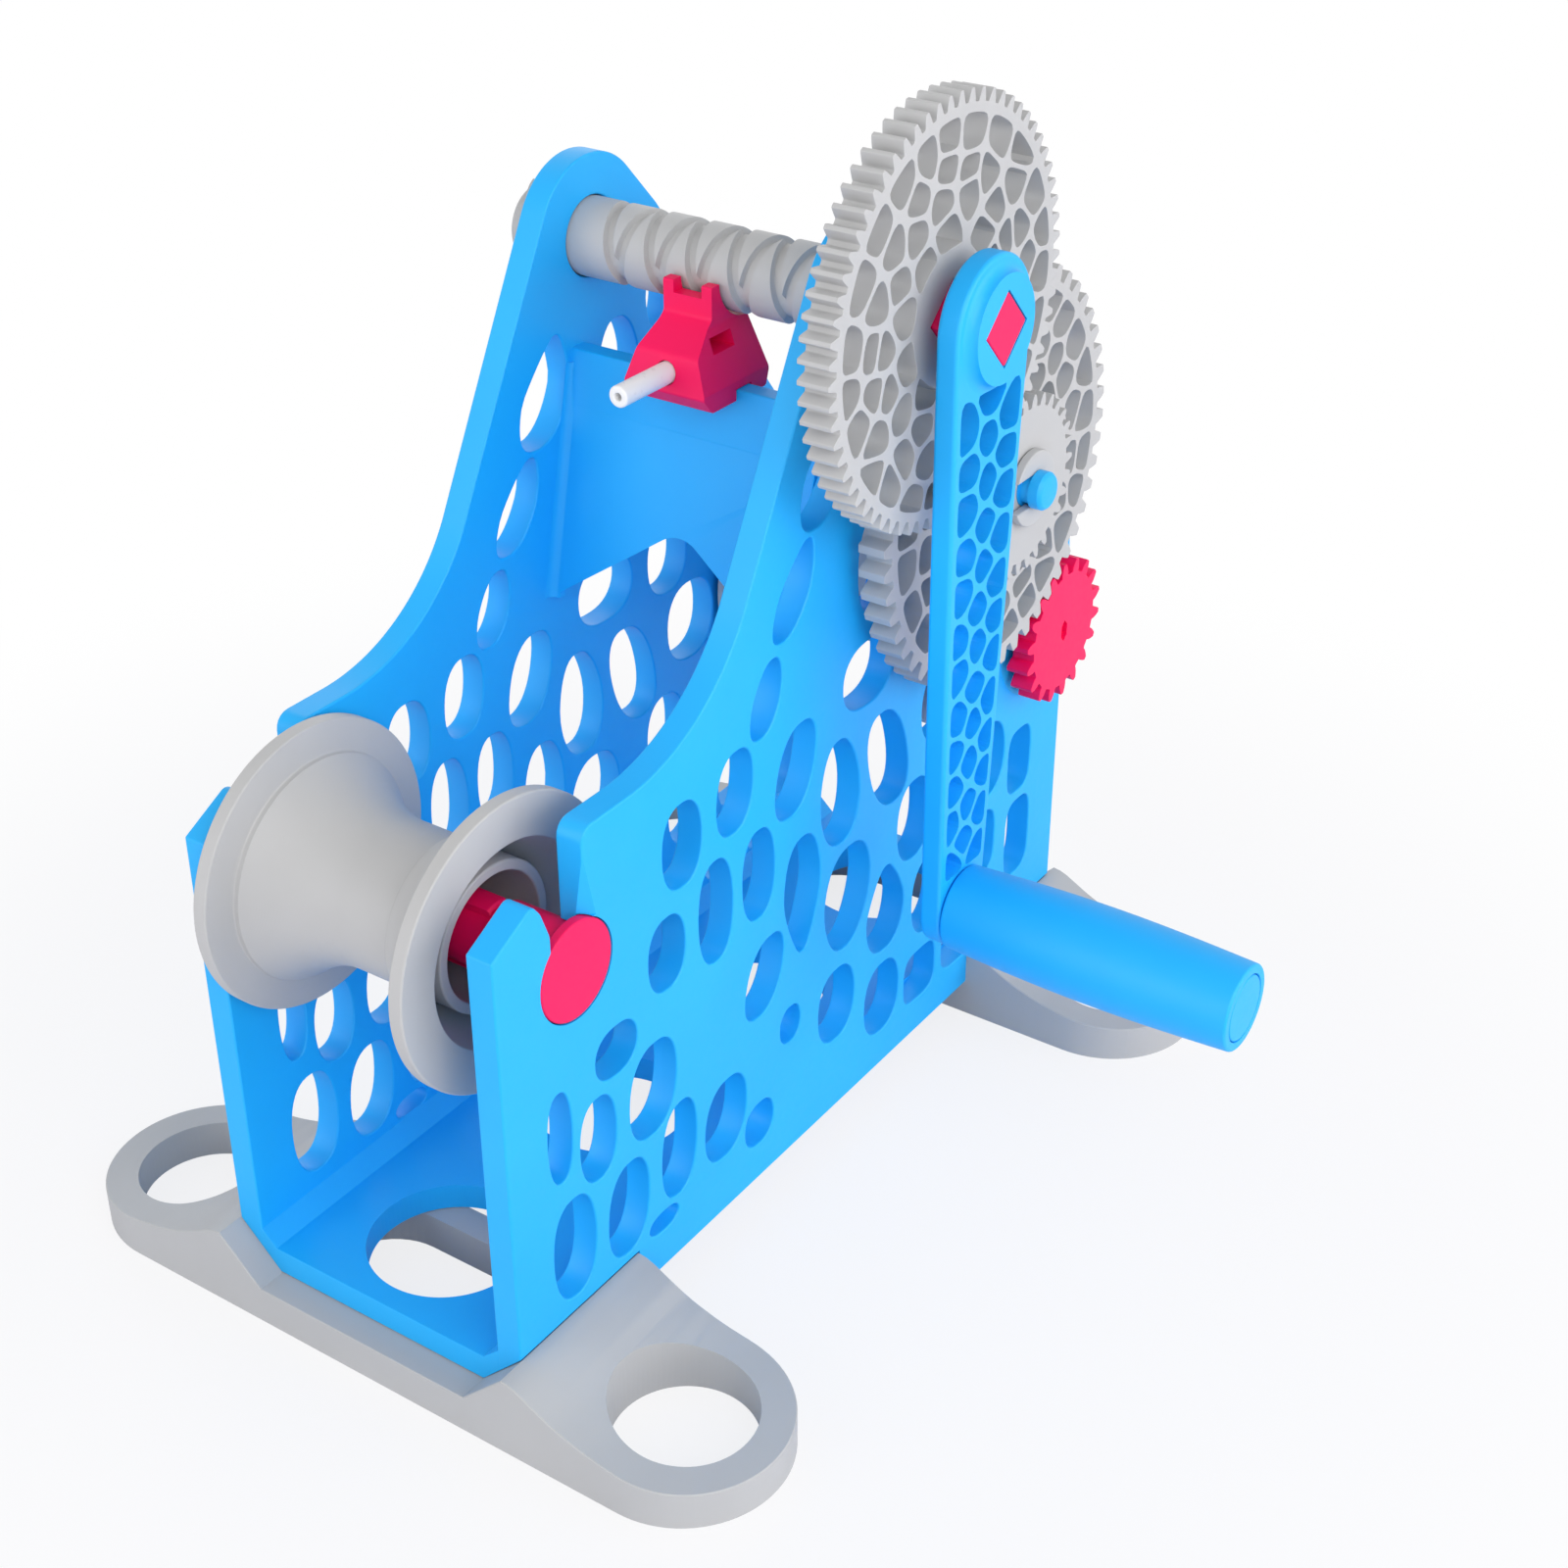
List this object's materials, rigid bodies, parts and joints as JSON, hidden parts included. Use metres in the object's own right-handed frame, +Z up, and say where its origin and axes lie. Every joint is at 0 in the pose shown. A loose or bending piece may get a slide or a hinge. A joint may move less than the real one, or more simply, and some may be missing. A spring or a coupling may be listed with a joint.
{
  "type": "filament spool winder",
  "caption": "Hand-cranked filament rewinder: lattice side frames, geared drive, spool shafts with cones and a traversing guide on a double-groove screw.",
  "frame": {"origin": "on the floor, mid width between the side plates, in the middle of the front foot's front strip", "axes": "+X to the crank side, along the shafts; +Y from the front, where the filament comes in, to the rear drive shaft; +Z up"},
  "size_m": [0.2877, 0.3047, 0.3172],
  "materials": {
    "blue": "satin printed plastic",
    "grey": "satin printed plastic",
    "red": "satin printed plastic",
    "white": "smooth tube"
  },
  "bodies": {
    "frame": {"near_side_plate": "blue", "far_side_plate": "blue", "floor_plate": "blue", "cross_panel": "blue", "front_foot": "grey", "rear_foot": "grey", "idler_clip": "grey"},
    "crank_train": {"lead_screw": "grey", "crank_gear": "grey"},
    "crank": {"square_shaft": "red", "crank_arm": "blue", "handle_pin": "blue"},
    "grip": {"handle_grip": "blue"},
    "idler": {"idler_gear": "grey"},
    "rear_spool": {"rear_fixed_cone": "grey"},
    "rear_slider": {"rear_sliding_cone": "grey"},
    "rear_shaft": {"drive_shaft": "red"},
    "front_spool": {"front_fixed_cone": "grey"},
    "front_slider": {"front_sliding_cone": "grey"},
    "front_axle": {"front_shaft": "red"},
    "guide": {"guide_carriage": "red", "guide_pawl": "red", "guide_tube": "white"},
    "screw_keeper": {"screw_clip": "grey"},
    "shaft_keeper": {"shaft_clip": "grey"}
  },
  "joints": [
    {"name": "crank_spin", "type": "hinge", "parent": "frame", "child": "crank_train", "pos_m": [0.05, 0.1645, 0.2611], "axis": [1, 0, 0], "range_deg": [-720, 720]},
    {"name": "crank_pull", "type": "slide", "parent": "crank_train", "child": "crank", "axis": [1, 0, 0], "range_m": [0, 0.0507]},
    {"name": "grip_spin", "type": "hinge", "parent": "crank", "child": "grip", "pos_m": [0.0851, 0.15948, 0.09197], "axis": [1, 0, 0], "continuous": true},
    {"name": "idler_spin", "type": "hinge", "parent": "frame", "child": "idler", "pos_m": [0.054, 0.212, 0.1975], "axis": [1, 0, 0], "range_deg": [-1585, 1585]},
    {"name": "rear_spool_spin", "type": "hinge", "parent": "frame", "child": "rear_spool", "pos_m": [-0.04, 0.2571, 0.131], "axis": [1, 0, 0], "range_deg": [-4577, 4577]},
    {"name": "rear_cone_slide", "type": "slide", "parent": "rear_spool", "child": "rear_slider", "axis": [1, 0, 0], "range_m": [-0.02, 0.0125]},
    {"name": "rear_shaft_pull", "type": "slide", "parent": "rear_spool", "child": "rear_shaft", "axis": [1, 0, 0], "range_m": [0, 0.1257]},
    {"name": "front_spool_spin", "type": "hinge", "parent": "frame", "child": "front_spool", "pos_m": [-0.04, 0.0324, 0.1298], "axis": [1, 0, 0], "continuous": true},
    {"name": "front_cone_slide", "type": "slide", "parent": "front_spool", "child": "front_slider", "axis": [1, 0, 0], "range_m": [-0.02, 0.0125]},
    {"name": "front_shaft_pull", "type": "slide", "parent": "front_spool", "child": "front_axle", "axis": [1, 0, 0], "range_m": [0, 0.1231]},
    {"name": "guide_traverse", "type": "slide", "parent": "frame", "child": "guide", "axis": [1, 0, 0], "range_m": [-0.0271, 0.0271]},
    {"name": "screw_clip_pull", "type": "slide", "parent": "frame", "child": "screw_keeper", "axis": [-1, 0, 0], "range_m": [0, 0.03]},
    {"name": "shaft_clip_pull", "type": "slide", "parent": "frame", "child": "shaft_keeper", "axis": [-1, 0, 0], "range_m": [0, 0.05]}
  ],
  "couplings": [
    {"joint": "idler_spin", "follows": "crank_spin", "ratio": -2.2},
    {"joint": "rear_spool_spin", "follows": "crank_spin", "ratio": 6.3556},
    {"joint": "guide_traverse", "follows": "crank_spin", "m_per_rad": -0.0021486}
  ]
}
